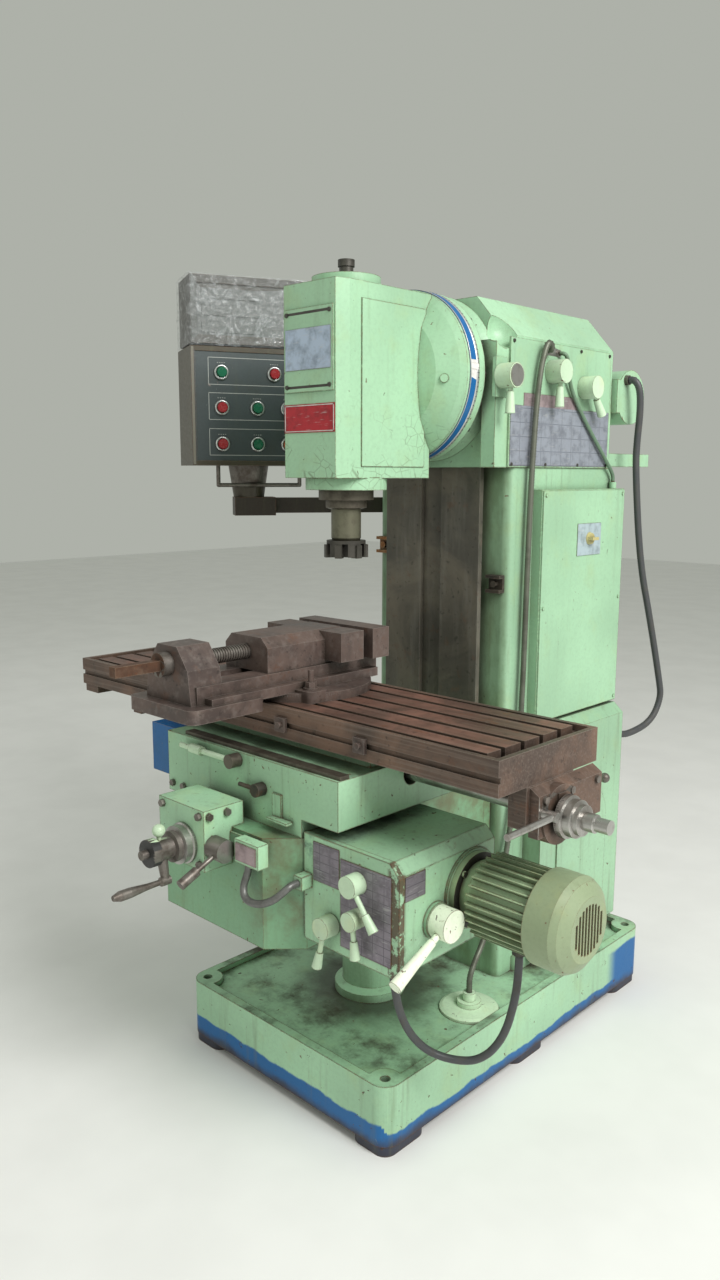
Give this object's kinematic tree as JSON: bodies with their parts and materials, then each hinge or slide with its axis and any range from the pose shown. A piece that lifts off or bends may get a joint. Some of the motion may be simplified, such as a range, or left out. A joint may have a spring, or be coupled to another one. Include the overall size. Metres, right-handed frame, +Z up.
{
  "type": "vertical milling machine",
  "caption": "Vertical knee-type milling machine with a swivelling spindle head, power-fed T-slot table, machine vise, front and side feed controls and a swinging pushbutton pendant.",
  "frame": {"origin": "centre of the four anchor bolt holes at the underside of the base", "axes": "+X along the table to the right, +Y from the operator to the column, +Z up"},
  "size_m": [1.5403, 1.7123, 1.978],
  "materials": {
    "machine_paint": "chipped mint green gloss paint, oily",
    "blue_paint": "worn blue paint",
    "worn_cream_paint": "yellowed green paint",
    "dark_iron": "brown-grey oiled iron with light rust",
    "bright_steel": "worn steel",
    "tool_steel": "dark rusty steel",
    "black_plastic": "moulded fan",
    "brown_sheet_metal": "dark brown enamel",
    "readout_case": "grey enamel",
    "conduit_steel": "wound steel strip",
    "dark_rubber": "oily rubber",
    "green_button": "gloss",
    "red_button": "gloss",
    "orange_button": "gloss",
    "grey_plastic": "satin",
    "ivory_plastic": "yellowed gloss"
  },
  "bodies": {
    "frame": {"base": "machine_paint", "column": "machine_paint", "column_ways": "dark_iron", "headstock": "machine_paint", "headstock_cover": "machine_paint", "cabinet": "machine_paint", "cabinet_door": "machine_paint", "tank_block": "machine_paint", "main_motor": "machine_paint", "screw_tube": "machine_paint", "column_brackets": "dark_iron", "column_conduit": "conduit_steel", "rear_conduit": "dark_rubber", "cabinet_cable": "dark_rubber"},
    "speed_lever_front": {"speed_lever_front": "machine_paint"},
    "speed_lever_middle": {"speed_lever_middle": "machine_paint"},
    "speed_lever_rear": {"speed_lever_rear": "machine_paint"},
    "cabinet_knob": {"cabinet_knob": "ivory_plastic"},
    "head": {"head_housing": "machine_paint", "head_cover": "machine_paint", "graduated_ring": "blue_paint"},
    "spindle": {"spindle": "bright_steel", "arbor": "dark_iron", "face_mill": "tool_steel"},
    "knee": {"knee": "machine_paint", "crank_box": "machine_paint", "feed_gearbox": "machine_paint", "feed_motor": "machine_paint", "fan_cover": "worn_cream_paint", "feed_hose": "dark_rubber", "switch_hose": "dark_rubber"},
    "motor_fan": {"motor_fan": "black_plastic"},
    "feed_lever_a": {"feed_lever_a": "machine_paint"},
    "feed_lever_b": {"feed_lever_b": "machine_paint"},
    "feed_lever_c": {"feed_lever_c": "machine_paint"},
    "feed_lever_long": {"feed_lever_long": "machine_paint"},
    "cross_crank": {"cross_crank": "bright_steel"},
    "cross_lever": {"cross_lever": "bright_steel"},
    "elevating_screw": {"elevating_screw": "bright_steel"},
    "saddle": {"saddle": "machine_paint", "saddle_cover": "blue_paint"},
    "saddle_lock": {"saddle_lock": "machine_paint"},
    "table_lock": {"table_lock": "dark_iron"},
    "table": {"table": "dark_iron", "end_bracket": "dark_iron", "vise_base": "dark_iron"},
    "table_screw": {"table_screw": "bright_steel"},
    "vise_jaw": {"vise_jaw": "dark_iron"},
    "vise_screw": {"vise_screw": "bright_steel"},
    "pendant_arm": {"pendant_arm": "brown_sheet_metal"},
    "pendant": {"pendant_box": "brown_sheet_metal", "readout_box": "readout_case"},
    "button_start": {"button_start": "green_button"},
    "button_stop": {"button_stop": "red_button"},
    "button_feed_stop": {"button_feed_stop": "red_button"},
    "button_feed_start": {"button_feed_start": "green_button"},
    "button_coolant_stop": {"button_coolant_stop": "red_button"},
    "button_coolant_start": {"button_coolant_start": "green_button"},
    "button_light": {"button_light": "orange_button"},
    "selector": {"selector": "grey_plastic"}
  },
  "joints": [
    {"name": "head_swivel", "type": "hinge", "parent": "frame", "child": "head", "pos_m": [0, -0.092, 1.705], "axis": [0, 1, 0], "range_deg": [-45, 45]},
    {"name": "spindle_spin", "type": "hinge", "parent": "head", "child": "spindle", "pos_m": [0, -0.325, 1.6], "axis": [0, 0, 1], "continuous": true},
    {"name": "knee_lift", "type": "slide", "parent": "frame", "child": "knee", "axis": [0, 0, 1], "range_m": [-0.075, 0.14]},
    {"name": "saddle_cross", "type": "slide", "parent": "knee", "child": "saddle", "axis": [0, 1, 0], "range_m": [-0.022, 0.2]},
    {"name": "table_feed", "type": "slide", "parent": "saddle", "child": "table", "axis": [1, 0, 0], "range_m": [-0.3, 0.3]},
    {"name": "elevating_turn", "type": "hinge", "parent": "knee", "child": "elevating_screw", "pos_m": [0, -0.235, 0.3], "axis": [0, 0, 1], "range_deg": [-2300, 4300]},
    {"name": "cross_crank_turn", "type": "hinge", "parent": "knee", "child": "cross_crank", "pos_m": [-0.045, -0.775, 0.686], "axis": [0, -1, 0], "range_deg": [-14500, 1700]},
    {"name": "table_screw_turn", "type": "hinge", "parent": "table", "child": "table_screw", "pos_m": [0.641, -0.417, 0.836], "axis": [1, 0, 0], "range_deg": [-18200, 18200]},
    {"name": "vise_screw_turn", "type": "hinge", "parent": "table", "child": "vise_screw", "pos_m": [-0.07, -0.7, 1.078], "axis": [0, -1, 0], "range_deg": [-6000, 1700]},
    {"name": "vise_jaw_slide", "type": "slide", "parent": "table", "child": "vise_jaw", "axis": [0, 1, 0], "range_m": [-0.115, 0.03]},
    {"name": "speed_front_turn", "type": "hinge", "parent": "frame", "child": "speed_lever_front", "pos_m": [0.228, -0.04, 1.7], "axis": [1, 0, 0], "range_deg": [-60, 60]},
    {"name": "speed_middle_turn", "type": "hinge", "parent": "frame", "child": "speed_lever_middle", "pos_m": [0.223, 0.176, 1.725], "axis": [1, 0, 0], "range_deg": [-25, 45]},
    {"name": "speed_rear_turn", "type": "hinge", "parent": "frame", "child": "speed_lever_rear", "pos_m": [0.223, 0.328, 1.696], "axis": [1, 0, 0], "range_deg": [-90, 30]},
    {"name": "cabinet_knob_turn", "type": "hinge", "parent": "frame", "child": "cabinet_knob", "pos_m": [0.247, 0.345, 1.306], "axis": [1, 0, 0], "range_deg": [-90, 0]},
    {"name": "motor_fan_spin", "type": "hinge", "parent": "knee", "child": "motor_fan", "pos_m": [0.681, -0.412, 0.622], "axis": [1, 0, 0], "continuous": true},
    {"name": "feed_a_turn", "type": "hinge", "parent": "knee", "child": "feed_lever_a", "pos_m": [0.351, -0.642, 0.672], "axis": [0, -1, 0], "range_deg": [-8, 60]},
    {"name": "feed_b_turn", "type": "hinge", "parent": "knee", "child": "feed_lever_b", "pos_m": [0.275, -0.642, 0.559], "axis": [0, -1, 0], "range_deg": [-20, 40]},
    {"name": "feed_c_turn", "type": "hinge", "parent": "knee", "child": "feed_lever_c", "pos_m": [0.354, -0.642, 0.6], "axis": [0, -1, 0], "range_deg": [-30, 30]},
    {"name": "feed_long_turn", "type": "hinge", "parent": "knee", "child": "feed_lever_long", "pos_m": [0.459, -0.528, 0.59], "axis": [1, 0, 0], "range_deg": [-25, 30]},
    {"name": "cross_lever_turn", "type": "hinge", "parent": "knee", "child": "cross_lever", "pos_m": [0.024, -0.751, 0.688], "axis": [1, 0, 0], "range_deg": [-30, 30]},
    {"name": "saddle_lock_turn", "type": "hinge", "parent": "saddle", "child": "saddle_lock", "pos_m": [-0.023, -0.642, 0.848], "axis": [0, -1, 0], "range_deg": [-25, 15]},
    {"name": "table_lock_turn", "type": "hinge", "parent": "saddle", "child": "table_lock", "pos_m": [0.06, -0.642, 0.8], "axis": [0, -1, 0], "range_deg": [-60, 20]},
    {"name": "arm_swing", "type": "hinge", "parent": "frame", "child": "pendant_arm", "pos_m": [-0.262, 0.16, 1.388], "axis": [0, 0, 1], "range_deg": [-45, 6]},
    {"name": "pendant_turn", "type": "hinge", "parent": "pendant_arm", "child": "pendant", "pos_m": [-0.505, -0.2, 1.388], "axis": [0, 0, 1], "range_deg": [-60, 25]},
    {"name": "button_start_press", "type": "slide", "parent": "pendant", "child": "button_start", "axis": [-0.9063, 0.4226, 0], "range_m": [0, 0.004], "stiffness_N_per_m": 400},
    {"name": "button_stop_press", "type": "slide", "parent": "pendant", "child": "button_stop", "axis": [-0.9063, 0.4226, 0], "range_m": [0, 0.004], "stiffness_N_per_m": 400},
    {"name": "button_feed_stop_press", "type": "slide", "parent": "pendant", "child": "button_feed_stop", "axis": [-0.9063, 0.4226, 0], "range_m": [0, 0.004], "stiffness_N_per_m": 400},
    {"name": "button_feed_start_press", "type": "slide", "parent": "pendant", "child": "button_feed_start", "axis": [-0.9063, 0.4226, 0], "range_m": [0, 0.004], "stiffness_N_per_m": 400},
    {"name": "button_coolant_stop_press", "type": "slide", "parent": "pendant", "child": "button_coolant_stop", "axis": [-0.9063, 0.4226, 0], "range_m": [0, 0.004], "stiffness_N_per_m": 400},
    {"name": "button_coolant_start_press", "type": "slide", "parent": "pendant", "child": "button_coolant_start", "axis": [-0.9063, 0.4226, 0], "range_m": [0, 0.004], "stiffness_N_per_m": 400},
    {"name": "button_light_press", "type": "slide", "parent": "pendant", "child": "button_light", "axis": [-0.9063, 0.4226, 0], "range_m": [0, 0.004], "stiffness_N_per_m": 400},
    {"name": "selector_turn", "type": "hinge", "parent": "pendant", "child": "selector", "pos_m": [-0.39491, -0.15203, 1.645], "axis": [0.9063, -0.4226, 0], "range_deg": [0, 90]}
  ],
  "couplings": [
    {"joint": "elevating_turn", "follows": "knee_lift", "rad_per_m": 523.6},
    {"joint": "cross_crank_turn", "follows": "saddle_cross", "rad_per_m": -1256.6},
    {"joint": "table_screw_turn", "follows": "table_feed", "rad_per_m": 1047.2},
    {"joint": "vise_screw_turn", "follows": "vise_jaw_slide", "rad_per_m": 897.6}
  ]
}
